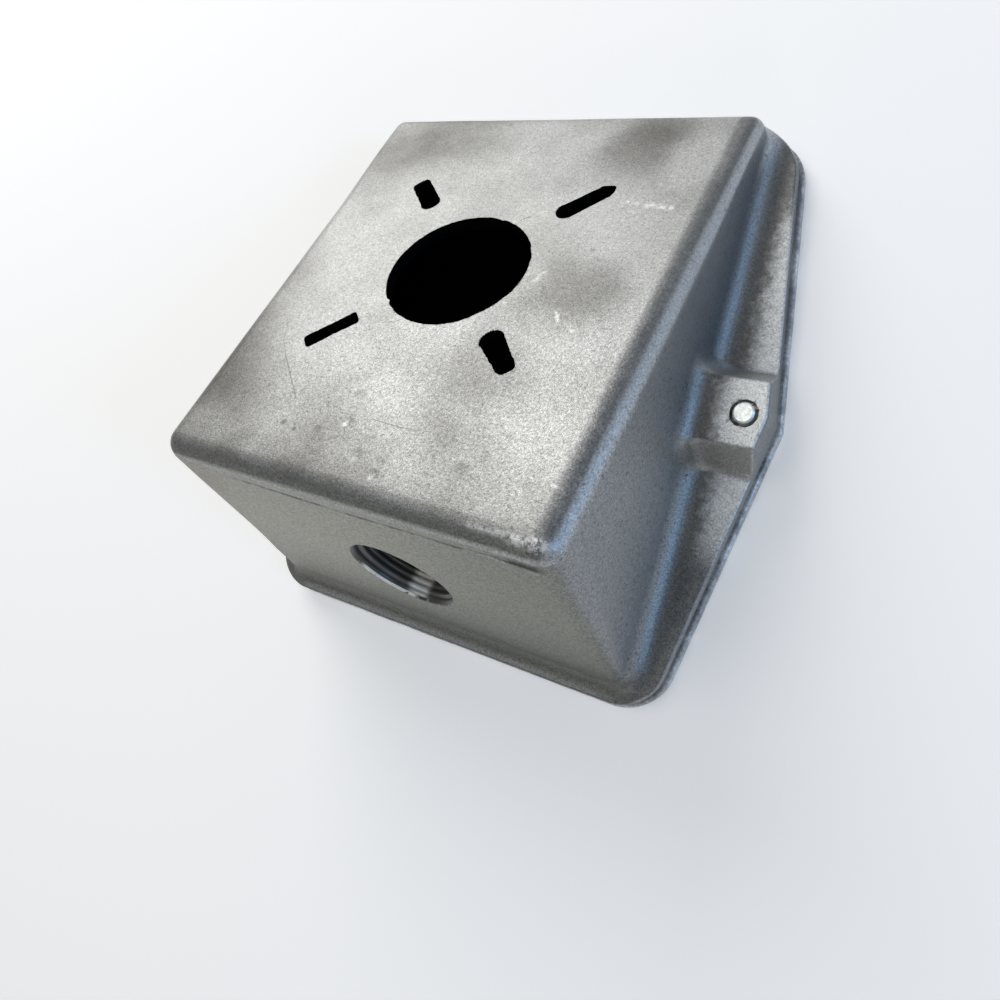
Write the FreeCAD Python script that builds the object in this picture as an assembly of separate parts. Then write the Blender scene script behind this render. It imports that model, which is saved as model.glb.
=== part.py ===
import FreeCAD, Part
import math
import os

# Die cast angled housing with its cover. Millimetres and degrees.
# X runs along the near wall, Y from the tall near wall to the short far wall, +Z is up.
# The origin is the middle of the cover's underside, which the object rests on.

# Flange outline, widest on the line of the two screws and tapering to both ends
flange_near_length = 73.5
flange_far_length = 70.6
flange_peak_width = 145.2
flange_side_taper = 9.2
flange_corner_radius = 12.0
flange_thickness = 3.0
flange_edge_radius = 0.8

# Cover and its seal; an edge's radius is at most the limit times the cover's thickness
cover_thickness = 3.2
cover_overhang = 1.2
cover_edge_radius = 0.9
cover_edge_limit = 0.45
gasket_thickness = 1.0
gasket_inset = 0.6

# Body
face_tilt = 25.3
near_wall_height = 68.0
near_lip = 4.0
far_lip = 0.37
body_width = 109.5
wall_draft = 1.2
body_edge_radius = 3.7
skirt_radius = 6.5
wall = 3.5
cavity_edge_radius = 1.5

# Openings in the slotted face, whose common centre lies a little off the face's own
face_hole_diameter = 35.8
face_hole_across = -1.4
face_hole_along = 4.5
slot_length = 14.4
slot_width = 5.5
slot_circle_radius = 33.7
slot_count = 4

# Conduit entry in the near wall, its bore as wide as the thread's root
entry_diameter = 26.6
entry_across = 2.0
entry_depth_below_edge = 37.1
entry_chamfer = 0.8
entry_hub_wall = 4.6
entry_hub_depth = 12.0

# Screw bosses on the flange
boss_height = 10.8
boss_top_length = 15.7
boss_side_slope = 21.0
boss_top_radius = 1.6
boss_foot_radius = 3.0
boss_cove_radius = 5.5

# Cover screws, countersunk and flush with the cover's underside
screw_diameter = 4.8
screw_edge_distance = 5.3
screw_tip_proud = 1.0
screw_tip_chamfer = 0.35
screw_head_diameter = 9.2
screw_slot_width = 1.2
screw_slot_depth = 1.1
thread_clearance = 0.05
shank_clearance = 0.35
relief_diameter = 6.4
relief_depth = 3.0

# How far cutting solids run past what they cut, and how close counts as touching
overrun = 15.0
near_enough = 0.001

# Heights and places that follow from these sizes
flange_bottom = cover_thickness + gasket_thickness
flange_top = flange_bottom + flange_thickness
boss_top = flange_top + boss_height
tilt = math.radians(face_tilt)
draft = math.radians(wall_draft)
near_base = (near_lip - flange_near_length, flange_top)
far_base = (flange_far_length - far_lip, flange_top)
up_near_wall = (math.sin(tilt), math.cos(tilt))
up_far_wall = (-math.sin(draft), math.cos(draft))
down_face = (math.cos(tilt), -math.sin(tilt))
near_edge = (
    near_base[0] + near_wall_height * up_near_wall[0],
    near_base[1] + near_wall_height * up_near_wall[1],
)
screw_x = flange_peak_width / 2 - screw_edge_distance
SIDES = {"right": 1, "left": -1}

# Everything is drawn about the line of the two screws, then moved to the middle of the cover
origin_shift = (flange_near_length - flange_far_length) / 2


def vector(x, y, z):
    return FreeCAD.Vector(x, y, z)


def crossing(point, direction, other_point, other_direction):
    """Point where two lines in a plane meet."""
    gap = (other_point[0] - point[0], other_point[1] - point[1])
    area = direction[0] * other_direction[1] - direction[1] * other_direction[0]
    along = (gap[0] * other_direction[1] - gap[1] * other_direction[0]) / area
    return (point[0] + direction[0] * along, point[1] + direction[1] * along)


def offset_polygon(points, distance):
    """Move each side of a counterclockwise polygon outwards by a distance."""
    lines = []
    for index, start in enumerate(points):
        end = points[(index + 1) % len(points)]
        run = (end[0] - start[0], end[1] - start[1])
        length = math.hypot(run[0], run[1])
        unit = (run[0] / length, run[1] / length)
        lines.append(((start[0] + unit[1] * distance, start[1] - unit[0] * distance), unit))
    return [crossing(*lines[index - 1], *lines[index]) for index in range(len(lines))]


def rounded_wire(points, radii):
    """Closed wire through a polygon whose corners are arcs; a radius of 0 keeps a corner sharp."""
    corners = []
    for index, corner in enumerate(points):
        here = vector(corner[0], corner[1], 0)
        before = vector(*points[index - 1], 0) - here
        after = vector(*points[(index + 1) % len(points)], 0) - here
        before.normalize()
        after.normalize()
        half_angle = before.getAngle(after) / 2
        reach = radii[index] / math.tan(half_angle)
        middle = before + after
        middle.normalize()
        to_arc = radii[index] / math.sin(half_angle) - radii[index]
        corners.append((here + before * reach, here + middle * to_arc, here + after * reach))
    edges = []
    for index, (start, middle, end) in enumerate(corners):
        if radii[index] > 0:
            edges.append(Part.Arc(start, middle, end).toShape())
        edges.append(Part.LineSegment(end, corners[(index + 1) % len(corners)][0]).toShape())
    return Part.Wire(edges)


def prism(wire, bottom, height):
    solid = Part.Face(wire).extrude(vector(0, 0, height))
    solid.translate(vector(0, 0, bottom))
    return solid


def outline_prism(grow, bottom, height):
    """Block with the flange's outline, its sides moved outwards by a distance."""
    peak = flange_peak_width / 2
    taper = math.tan(math.radians(flange_side_taper))
    near, far = -flange_near_length, flange_far_length
    near_end = peak + near * taper
    far_end = peak - far * taper
    points = [
        (-near_end, near), (near_end, near), (peak, 0),
        (far_end, far), (-far_end, far), (-peak, 0),
    ]
    corner = flange_corner_radius + grow
    radii = [corner, corner, 0, corner, corner, 0]
    return prism(rounded_wire(offset_polygon(points, grow), radii), bottom, height)


def profile_along_x(points, half_length):
    """Straight bar with a side profile of (y, z) points, centred on X = 0."""
    corners = [vector(-half_length, y, z) for y, z in points]
    face = Part.Face(Part.makePolygon(corners + corners[:1]))
    return face.extrude(vector(2 * half_length, 0, 0))


def tapered_side_block(half_width, bottom, top):
    """Block between the two drafted side walls; half_width is at the flange's top."""
    lean = math.tan(draft)
    low = half_width + (flange_top - bottom) * lean
    high = half_width + (flange_top - top) * lean
    reach = flange_near_length + flange_far_length
    corners = [
        vector(-low, -reach, bottom),
        vector(low, -reach, bottom),
        vector(high, -reach, top),
        vector(-high, -reach, top),
    ]
    face = Part.Face(Part.makePolygon(corners + corners[:1]))
    return face.extrude(vector(0, 2 * reach, 0))


def wedge(inset, bottom):
    """The body's wedge, all its walls moved inwards by an inset, down to a height."""
    near_point = (near_base[0] + inset * math.cos(tilt), near_base[1] - inset * math.sin(tilt))
    face_point = (near_edge[0] - inset * math.sin(tilt), near_edge[1] - inset * math.cos(tilt))
    far_point = (far_base[0] - inset * math.cos(draft), far_base[1] - inset * math.sin(draft))
    level = ((0, bottom), (1, 0))
    profile = [
        crossing(near_point, up_near_wall, *level),
        crossing(near_point, up_near_wall, face_point, down_face),
        crossing(face_point, down_face, far_point, up_far_wall),
        crossing(far_point, up_far_wall, *level),
    ]
    bar = profile_along_x(profile, body_width)
    half_width = body_width / 2 - inset / math.cos(draft)
    return bar.common(tapered_side_block(half_width, bottom - overrun, near_edge[1] + overrun))


def round_upper_edges(solid, radius, bottom):
    """Round every edge of a wedge that isn't on its underside."""
    upper = [edge for edge in solid.Edges if edge.CenterOfMass.z > bottom + near_enough]
    return solid.makeFillet(radius, upper)


def blended(shape, rounds):
    """Round several groups of edges in one go; rounds is a list of (radius, edges)."""
    document = FreeCAD.newDocument("blend")
    base = document.addObject("Part::Feature", "base")
    base.Shape = shape
    numbered = base.Shape.Edges
    blend = document.addObject("Part::Fillet", "blend")
    blend.Base = base
    blend.Edges = [
        (index + 1, radius, radius)
        for radius, edges in rounds
        for index, candidate in enumerate(numbered)
        if any(candidate.isSame(edge) for edge in edges)
    ]
    document.recompute()
    result = blend.Shape.copy()
    FreeCAD.closeDocument(document.Name)
    return result


def side_wall_x(z):
    """Half width of the body between its drafted side walls at a height."""
    return body_width / 2 - (z - flange_top) * math.tan(draft)


def boss_bars():
    """Bar across the whole flange with the bosses' side profile: sloping sides, rounded top."""
    slope = math.tan(math.radians(boss_side_slope))
    top = boss_top_length / 2
    depth = flange_thickness / 2
    low = top + (boss_height + depth) * slope
    points = [(-low, -depth), (low, -depth), (top, boss_height), (-top, boss_height)]
    reach = flange_peak_width / 2 + overrun
    wire = rounded_wire(points, [0, 0, boss_top_radius, boss_top_radius])
    bar = Part.Face(wire).extrude(vector(0, 0, 2 * reach))
    bar.Placement = FreeCAD.Placement(
        vector(-reach, 0, flange_top),
        FreeCAD.Rotation(vector(0, 1, 0), vector(0, 0, 1), vector(1, 0, 0), "XYZ"),
    )
    return bar


def cast_blank():
    """Solid body, flange and bosses with their concave blends, trimmed to the flange's outline."""
    body = round_upper_edges(wedge(0, flange_bottom), body_edge_radius, flange_bottom)
    reach = flange_peak_width / 2 + overrun
    plate = Part.makeBox(
        2 * reach,
        flange_near_length + flange_far_length + 2 * overrun,
        flange_thickness,
        vector(-reach, -flange_near_length - overrun, flange_bottom),
    )
    joined = body.fuse([plate, boss_bars()]).removeSplitter()
    boss_foot = boss_top_length / 2 + boss_height * math.tan(math.radians(boss_side_slope))
    skirt = []
    feet = []
    coves = []
    for edge in joined.Edges:
        box = edge.BoundBox
        middle = edge.CenterOfMass
        level = max(abs(box.ZMin - flange_top), abs(box.ZMax - flange_top)) < near_enough
        at_body = max(box.XMax, -box.XMin) < body_width / 2 + near_enough
        if level and at_body:
            skirt.append(edge)
        elif level and abs(abs(middle.y) - boss_foot) < near_enough:
            feet.append(edge)
        elif (
            abs(abs(middle.x) - side_wall_x(middle.z)) < near_enough
            and abs(middle.y) < boss_foot
            and middle.z < boss_top + near_enough
        ):
            coves.append(edge)
    blank = blended(
        joined, [(skirt_radius, skirt), (boss_foot_radius, feet), (boss_cove_radius, coves)]
    )
    return blank.common(outline_prism(0, flange_bottom, near_edge[1] + overrun))


def round_rim(blank):
    """Round the upper edge that runs round the flange and over the outer sides of the bosses."""
    rim = []
    for face in blank.Faces:
        box = face.BoundBox
        u_start, u_end, v_start, v_end = face.ParameterRange
        normal = face.normalAt((u_start + u_end) / 2, (v_start + v_end) / 2)
        if abs(normal.z) > near_enough or box.ZMin > flange_bottom + near_enough:
            continue
        for edge in face.Edges:
            upright = abs(edge.tangentAt(edge.FirstParameter).z) > 1 - near_enough
            if not upright and edge.BoundBox.ZMin > flange_bottom + near_enough:
                rim.append(edge)
    return blended(blank, [(flange_edge_radius, rim)])


def face_placement():
    """Frame at the face hole: local Z out of the face, local Y towards the far wall."""
    far_edge = crossing(near_edge, down_face, far_base, up_far_wall)
    along = math.dist(near_edge, far_edge) / 2 + face_hole_along
    y = near_edge[0] + along * down_face[0]
    z = near_edge[1] + along * down_face[1]
    turn = FreeCAD.Rotation(vector(1, 0, 0), -face_tilt)
    return FreeCAD.Placement(vector(face_hole_across, y, z), turn)


def entry_placement():
    """Frame on the near wall at the conduit entry: local Z out of the wall."""
    y = near_edge[0] - entry_depth_below_edge * up_near_wall[0]
    z = near_edge[1] - entry_depth_below_edge * up_near_wall[1]
    turn = FreeCAD.Rotation(vector(1, 0, 0), 90 - face_tilt)
    return FreeCAD.Placement(vector(entry_across, y, z), turn)


def slot_tool():
    """Stadium along local X that cuts through the face's wall."""
    radius = slot_width / 2
    run = slot_length / 2 - radius
    ends = []
    for side in SIDES.values():
        start = vector(side * run, -side * radius, 0)
        middle = vector(side * (run + radius), 0, 0)
        end = vector(side * run, side * radius, 0)
        ends.append((start, middle, end))
    edges = []
    for index, (start, middle, end) in enumerate(ends):
        edges.append(Part.Arc(start, middle, end).toShape())
        edges.append(Part.LineSegment(end, ends[1 - index][0]).toShape())
    return prism(Part.Wire(edges), -wall - overrun / 2, wall + overrun)


def face_tools():
    """Centre hole and the radial slots, in the part's frame."""
    hole = Part.makeCylinder(face_hole_diameter / 2, wall + overrun, vector(0, 0, -wall - overrun / 2))
    tools = [hole]
    for index in range(slot_count):
        slot = slot_tool()
        slot.translate(vector(slot_circle_radius, 0, 0))
        slot.rotate(vector(0, 0, 0), vector(0, 0, 1), (index + 0.5) * 360 / slot_count)
        tools.append(slot)
    frame = face_placement()
    for tool in tools:
        tool.Placement = frame.multiply(tool.Placement)
    return tools


def entry_hub():
    """Round hub behind the near wall that gives the conduit thread its length."""
    radius = entry_diameter / 2 + entry_hub_wall
    hub = Part.makeCylinder(radius, entry_hub_depth + wall / 2, vector(0, 0, -wall - entry_hub_depth))
    hub.Placement = entry_placement()
    return hub


def entry_tool():
    """Bore of the conduit entry with the chamfer of its mouth."""
    radius = entry_diameter / 2
    bore = Part.makeCylinder(
        radius, wall + entry_hub_depth + 2 * overrun, vector(0, 0, -wall - entry_hub_depth - overrun)
    )
    mouth = Part.makeCone(radius, radius + 2 * entry_chamfer, 2 * entry_chamfer, vector(0, 0, -entry_chamfer))
    tool = bore.fuse(mouth)
    tool.Placement = entry_placement()
    return tool


def screw_passage(side):
    """Threaded hole of one boss and the wider relief at its top."""
    x = side * screw_x
    radius = screw_diameter / 2 + thread_clearance
    hole = Part.makeCylinder(radius, boss_top + overrun, vector(x, 0, 0))
    relief = Part.makeCylinder(relief_diameter / 2, overrun, vector(x, 0, boss_top - relief_depth))
    return hole.fuse(relief)


def make_housing():
    shell = round_rim(cast_blank())
    cavity = round_upper_edges(wedge(wall, flange_bottom - overrun), cavity_edge_radius, flange_bottom)
    shell = shell.cut(cavity)
    shell = shell.fuse(entry_hub().common(wedge(wall / 2, flange_bottom)))
    shell = shell.cut(entry_tool())
    for tool in face_tools():
        shell = shell.cut(tool)
    for side in SIDES.values():
        shell = shell.cut(screw_passage(side))
    return shell.removeSplitter()


def shank_hole(side, bottom, height):
    radius = screw_diameter / 2 + shank_clearance
    return Part.makeCylinder(radius, height, vector(side * screw_x, 0, bottom))


def head_cone(side, clearance):
    """Cone of a 90 degree countersunk head whose flat lies on the cover's underside."""
    radius = screw_head_diameter / 2 + clearance
    neck = screw_diameter / 2 + clearance
    return Part.makeCone(radius, neck, radius - neck, vector(side * screw_x, 0, 0))


def make_cover():
    plate = outline_prism(cover_overhang, 0, cover_thickness)
    rims = [edge for edge in plate.Edges if edge.BoundBox.ZLength < near_enough]
    plate = plate.makeFillet(min(cover_edge_radius, cover_edge_limit * cover_thickness), rims)
    for side in SIDES.values():
        plate = plate.cut(shank_hole(side, 0, cover_thickness))
        plate = plate.cut(head_cone(side, thread_clearance))
    return plate


def make_gasket():
    ring = outline_prism(-gasket_inset, cover_thickness, gasket_thickness)
    ring = ring.cut(wedge(wall, 0))
    for side in SIDES.values():
        ring = ring.cut(shank_hole(side, cover_thickness, gasket_thickness))
    return ring


def make_screw(side):
    x = side * screw_x
    length = boss_top + screw_tip_proud
    radius = screw_diameter / 2
    full = length - screw_tip_chamfer
    shank = Part.makeCylinder(radius, full, vector(x, 0, 0))
    tip = Part.makeCone(radius, radius - screw_tip_chamfer, screw_tip_chamfer, vector(x, 0, full))
    slot = Part.makeBox(
        screw_slot_width,
        2 * screw_head_diameter,
        screw_slot_depth,
        vector(x - screw_slot_width / 2, -screw_head_diameter, 0),
    )
    return shank.fuse(tip).fuse(head_cone(side, 0)).removeSplitter().cut(slot)


def export(name, shape):
    placed = shape.copy()
    placed.translate(vector(0, origin_shift, 0))
    placed.exportStep("parts/" + name + ".step")
    print(name, "solids", len(placed.Solids), "volume", round(placed.Volume, 1), placed.isValid())


os.makedirs("parts", exist_ok=True)
export("housing", make_housing())
export("cover_plate", make_cover())
export("cover_gasket", make_gasket())
for side_name, side_sign in SIDES.items():
    export("cover_screw_" + side_name, make_screw(side_sign))
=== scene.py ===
import math
import bmesh
import bpy
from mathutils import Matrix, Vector, noise


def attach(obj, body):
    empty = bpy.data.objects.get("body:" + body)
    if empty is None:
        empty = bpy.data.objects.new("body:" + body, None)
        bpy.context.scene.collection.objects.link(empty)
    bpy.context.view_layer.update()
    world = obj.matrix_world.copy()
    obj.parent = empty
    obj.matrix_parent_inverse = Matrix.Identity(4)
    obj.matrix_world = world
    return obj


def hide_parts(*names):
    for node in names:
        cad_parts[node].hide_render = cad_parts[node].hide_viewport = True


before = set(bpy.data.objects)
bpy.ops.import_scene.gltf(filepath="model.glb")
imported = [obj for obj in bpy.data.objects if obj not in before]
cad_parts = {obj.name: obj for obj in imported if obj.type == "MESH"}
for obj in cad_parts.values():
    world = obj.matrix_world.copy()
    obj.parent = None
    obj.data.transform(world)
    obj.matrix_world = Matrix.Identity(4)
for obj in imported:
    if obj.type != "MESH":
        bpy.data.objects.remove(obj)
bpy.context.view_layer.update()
mm = 0.001

# The slanted face and the near wall stand square to each other; the other walls lean in from their foot
body = {
    "tilt": math.radians(25.3),
    "nearEdge": Vector((0, -38.99, 68.677)) * mm,
    "draft": math.tan(math.radians(1.2)),
    "footHeight": 7.2,
    "sideFoot": 54.75,
    "farFoot": 71.68,
}
across = Vector((1, 0, 0))
downFace = Vector((0, math.cos(body["tilt"]), -math.sin(body["tilt"])))
outOfFace = Vector((0, math.sin(body["tilt"]), math.cos(body["tilt"])))


def onFace(x, along, lift=0.0):
    # A place on the slanted face, in mm across and down from its near edge
    return body["nearEdge"] + (across * x + downFace * along + outOfFace * lift) * mm


def onNearWall(x, below):
    # A place on the near wall, in mm across and down from its upper edge
    return body["nearEdge"] + (across * x - outOfFace * below) * mm


def clearScene():
    for name in ("Cube", "Camera", "Light"):
        leftover = bpy.data.objects.get(name)
        if leftover:
            bpy.data.objects.remove(leftover)


# Camera, where the photograph was taken from
view = {
    "place": Vector((104.77, -31.49, 187.85)) * mm,
    "turn": (8.007, 27.154, 16.734),
    "lens": 27.22,
    "sensor": 36.0,
    "nearest": 0.01,
    "farthest": 50,
}


def makeCamera():
    data = bpy.data.cameras.new("photoCamera")
    data.lens = view["lens"]
    data.sensor_width = view["sensor"]
    data.clip_start = view["nearest"]
    data.clip_end = view["farthest"]
    camera = bpy.data.objects.new("photoCamera", data)
    camera.location = view["place"]
    camera.rotation_euler = [math.radians(angle) for angle in view["turn"]]
    bpy.context.scene.collection.objects.link(camera)
    bpy.context.scene.camera = camera


# Soft studio light: one broad lamp behind the left shoulder of the face, one overhead,
# two small cool ones that colour the right side, and a weak one for the near wall
lampTarget = Vector((0, 0, 0.03))
coolTint = (0.20, 0.52, 1.0)
lamps = {
    "key": {"from": (-0.52, 0.70, 0.50), "away": 1.1, "size": 0.8, "watts": 6.9, "tint": (1.0, 0.99, 0.96)},
    "top": {"from": (-0.35, 0.1, 1.0), "away": 1.2, "size": 0.7, "watts": 2.6, "tint": (1.0, 1.0, 0.97)},
    "coolSide": {"from": (0.9, -0.05, 0.42), "away": 1.0, "size": 0.22, "watts": 1.5, "tint": coolTint},
    "coolBack": {"from": (0.95, 0.30, 0.06), "away": 1.0, "size": 0.14, "watts": 0.9, "tint": coolTint},
    "near": {"from": (0.28, -0.85, 0.44), "away": 1.0, "size": 0.2, "watts": 0.4, "tint": (1.0, 0.99, 0.95)},
}


def makeLamps():
    for name, lamp in lamps.items():
        data = bpy.data.lights.new(name, "AREA")
        data.shape = "DISK"
        data.size = lamp["size"]
        data.energy = lamp["watts"]
        data.color = lamp["tint"]
        lampObject = bpy.data.objects.new(name, data)
        direction = Vector(lamp["from"]).normalized()
        lampObject.location = lampTarget + direction * lamp["away"]
        lampObject.rotation_euler = direction.to_track_quat("Z", "Y").to_euler()
        bpy.context.scene.collection.objects.link(lampObject)


studio = {
    "sky": (0.97, 0.98, 1.0, 1),
    "skyStrength": 0.26,
    "floorTone": (0.86, 0.86, 0.86, 1),
    "floorGlow": 0.27,
    "floorHalf": 6.0,
}


def makeWorld():
    world = bpy.data.worlds.new("studioAir")
    world.use_nodes = True
    air = world.node_tree.nodes["Background"]
    air.inputs["Color"].default_value = studio["sky"]
    air.inputs["Strength"].default_value = studio["skyStrength"]
    bpy.context.scene.world = world


# Small helpers for a material's node tree; places are Object coordinates in metres
class Nodes:
    def __init__(self, name):
        self.material = bpy.data.materials.new(name)
        self.material.use_nodes = True
        self.tree = self.material.node_tree
        self.tree.nodes.clear()
        self.places = self.tree.nodes.new("ShaderNodeTexCoord").outputs["Object"]

    def join(self, source, target):
        if hasattr(source, "is_output"):
            self.tree.links.new(source, target)
        else:
            target.default_value = source

    def number(self, operation, first, second=0.0, clamp=False):
        node = self.tree.nodes.new("ShaderNodeMath")
        node.operation = operation
        node.use_clamp = clamp
        self.join(first, node.inputs[0])
        self.join(second, node.inputs[1])
        return node.outputs[0]

    def times(self, product, *factors):
        for factor in factors:
            product = self.number("MULTIPLY", product, factor)
        return product

    def size(self, value):
        return self.number("ABSOLUTE", value)

    def vector(self, operation, first, second=(0, 0, 0), scale=1.0):
        node = self.tree.nodes.new("ShaderNodeVectorMath")
        node.operation = operation
        self.join(first, node.inputs[0])
        if operation == "SCALE":
            self.join(scale, node.inputs["Scale"])
        else:
            self.join(second, node.inputs[1])
        scalar = operation in ("DISTANCE", "DOT_PRODUCT")
        return node.outputs["Value" if scalar else "Vector"]

    def split(self, vector):
        node = self.tree.nodes.new("ShaderNodeSeparateXYZ")
        self.join(vector, node.inputs[0])
        return node.outputs

    def measure(self, start, direction, places=None):
        # How far a place lies from a start, along a direction
        gap = self.vector("SUBTRACT", places or self.places, tuple(start))
        return self.vector("DOT_PRODUCT", gap, tuple(direction))

    def facing(self, direction):
        # 1 where the surface faces that way, 0 where it stands square to it
        normal = self.tree.nodes.new("ShaderNodeTexCoord").outputs["Normal"]
        return self.vector("DOT_PRODUCT", normal, tuple(direction))

    def noiseNode(self, scale, detail, roughness):
        node = self.tree.nodes.new("ShaderNodeTexNoise")
        self.join(self.places, node.inputs["Vector"])
        node.inputs["Scale"].default_value = scale
        node.inputs["Detail"].default_value = detail
        node.inputs["Roughness"].default_value = roughness
        return node

    def grain(self, scale, detail=2.0, roughness=0.5):
        return self.noiseNode(scale, detail, roughness).outputs["Fac"]

    def centredGrain(self, strength, *grain):
        # Grain that lies evenly above and below 0
        return self.times(self.number("SUBTRACT", self.grain(*grain), 0.5), strength)

    def wandering(self, scale, strength):
        # Places that are moved about, so that outlines drawn with them are uneven
        color = self.noiseNode(scale, 2.0, 0.5).outputs["Color"]
        shift = self.vector("SCALE", self.vector("SUBTRACT", color, (0.5, 0.5, 0.5)), scale=strength)
        return self.vector("ADD", self.places, shift)

    def remap(self, value, low, high, newLow=0.0, newHigh=1.0):
        node = self.tree.nodes.new("ShaderNodeMapRange")
        node.interpolation_type = "SMOOTHSTEP"
        self.join(value, node.inputs["Value"])
        node.inputs["From Min"].default_value = low
        node.inputs["From Max"].default_value = high
        node.inputs["To Min"].default_value = newLow
        node.inputs["To Max"].default_value = newHigh
        return node.outputs["Result"]

    def remapMm(self, value, low, high, *ends):
        return self.remap(value, low * mm, high * mm, *ends)

    def mix(self, share, first, second, blend="MIX"):
        node = self.tree.nodes.new("ShaderNodeMix")
        node.data_type = "RGBA"
        node.blend_type = blend
        self.join(share, node.inputs["Factor"])
        self.join(first, node.inputs[6])
        self.join(second, node.inputs[7])
        return node.outputs[2]

    def shade(self, color, brightness):
        # A color made brighter or darker by a number
        node = self.tree.nodes.new("ShaderNodeCombineColor")
        for channel in range(3):
            self.join(brightness, node.inputs[channel])
        return self.mix(1.0, color, node.outputs[0], "MULTIPLY")

    def spot(self, centre, radius, core, places=None):
        # 1 inside a round spot, fading from its core's share of the radius to 0 at the radius
        away = self.vector("DISTANCE", places or self.places, centre)
        return self.remap(away, radius * core * mm, radius * mm, 1.0, 0.0)

    def stroke(self, first, last, halfWidth):
        # 1 along a straight line between two places, fading to 0 at its half width
        run = last - first
        fromFirst = self.vector("SUBTRACT", self.places, first)
        dot = self.vector("DOT_PRODUCT", fromFirst, run)
        share = self.number("MULTIPLY", dot, 1 / run.length_squared, clamp=True)
        nearest = self.vector("SCALE", run, scale=share)
        return self.remapMm(self.vector("DISTANCE", fromFirst, nearest), 0.0, halfWidth, 1.0, 0.0)

    def bump(self, height, strength, distance, before=None):
        node = self.tree.nodes.new("ShaderNodeBump")
        node.inputs["Strength"].default_value = strength
        node.inputs["Distance"].default_value = distance
        self.join(height, node.inputs["Height"])
        if before is not None:
            self.join(before, node.inputs["Normal"])
        return node.outputs["Normal"]

    def end(self, shader):
        result = self.tree.nodes.new("ShaderNodeOutputMaterial")
        self.tree.links.new(shader, result.inputs["Surface"])
        return self.material

    def surface(self, color, roughness, normal, metallic, specular=0.5):
        node = self.tree.nodes.new("ShaderNodeBsdfPrincipled")
        self.join(color, node.inputs["Base Color"])
        self.join(roughness, node.inputs["Roughness"])
        self.join(normal, node.inputs["Normal"])
        node.inputs["Metallic"].default_value = metallic
        node.inputs["Specular IOR Level"].default_value = specular
        return self.end(node.outputs[0])


def paleFloor():
    # Diffuse floor that glows only where the camera, a reflection or clear glass looks at it
    nodes = Nodes("paleFloor")
    path = nodes.tree.nodes.new("ShaderNodeLightPath").outputs
    seen = nodes.number("MAXIMUM", path["Is Camera Ray"], path["Is Glossy Ray"])
    seen = nodes.number("MAXIMUM", seen, path["Is Transmission Ray"])
    paint = nodes.tree.nodes.new("ShaderNodeBsdfDiffuse")
    paint.inputs["Color"].default_value = studio["floorTone"]
    glow = nodes.tree.nodes.new("ShaderNodeEmission")
    glow.inputs["Color"].default_value = (1, 1, 1, 1)
    nodes.join(nodes.times(seen, studio["floorGlow"]), glow.inputs["Strength"])
    both = nodes.tree.nodes.new("ShaderNodeAddShader")
    nodes.join(paint.outputs[0], both.inputs[0])
    nodes.join(glow.outputs[0], both.inputs[1])
    return nodes.end(both.outputs[0])


def makeFloor():
    grid = bmesh.new()
    bmesh.ops.create_grid(grid, x_segments=1, y_segments=1, size=studio["floorHalf"])
    mesh = bpy.data.meshes.new("floor")
    grid.to_mesh(mesh)
    grid.free()
    mesh.materials.append(paleFloor())
    floor = bpy.data.objects.new("floor", mesh)
    bpy.context.scene.collection.objects.link(floor)


# Cast skin. A fade reads: from, to, and what it gives at each end, 0 and 1 if not said. A grain reads:
# scale, detail, roughness, after its strength in a speckle or mottle. Places are in mm, and facings,
# grains and tones have no unit.
castLook = {
    "metallic": 0.4,
    "roughness": (0.3, 0.7, 0.34, 0.48),
    "roughnessGrain": (1500.0, 3.0, 0.6),
    "fineBump": ((3000.0, 2.0, 0.6), 0.75, 0.00009),
    "middleBump": ((1100.0, 2.0, 0.5), 0.22, 0.00010),
    "wander": (70.0, 0.006),
    "sideFacing": (0.55, 0.97),
    "nearFacing": (0.55, 0.85),
    "pit": (0.04, 0.04, 0.04, 1),
    "pitGrain": (800.0, 1.0),
    "pitFade": (0.62, 0.74),
    "pitShare": (0.6, 0.95, 0.12, 0.45),
    "fineSpeckle": (3.2, 2600.0, 2.0, 0.7),
    "coarseSpeckle": (1.3, 1200.0, 2.0, 0.6),
    "sparkle": (10, 80, 0.70, 0.50),
}

# Slotted face: light skin under dark clouds, with painted reflections as darker and lighter patches at fixed
# places, and painted shade towards the near edge
faceLook = {
    "light": (0.46, 0.46, 0.448, 1),
    "dark": (0.108, 0.103, 0.092, 1),
    "cloudGrain": (45.0, 4.0, 0.6),
    "cloud": (0.36, 0.70, 0.02, 0.30),
    "patchCore": 0.15,
    # Painted reflections: patches of darker tone, lighter where the depth is below 0
    "paintedReflections": [  # across, along, radius, depth
        (29.5, 110, 18, 0.62), (33, 119, 12, 0.20), (-24, 117, 24, 0.36), (-42, 108, 24, 0.40),
        (30, 61, 17, 0.60), (45, 106, 13, -0.35), (-54, 22, 26, 0.74), (-56, 48, 22, 0.50),
        (-34, 12, 20, 0.30), (0, 10, 18, 0.34), (-12, 20, 14, 0.30), (27, 14, 14, 0.42),
        (46, 76, 12, 0.10), (20, 34, 20, 0.38), (17, 18, 10, 0.22), (18, 54, 10, 0.20),
        (-14, 8, 13, 0.40), (52, 60, 8, -0.2), (52, 40, 8, -0.15),
    ],
    "nearPaintedShade": (1.0, 12.0, 0.42, 0.0),
}


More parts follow.
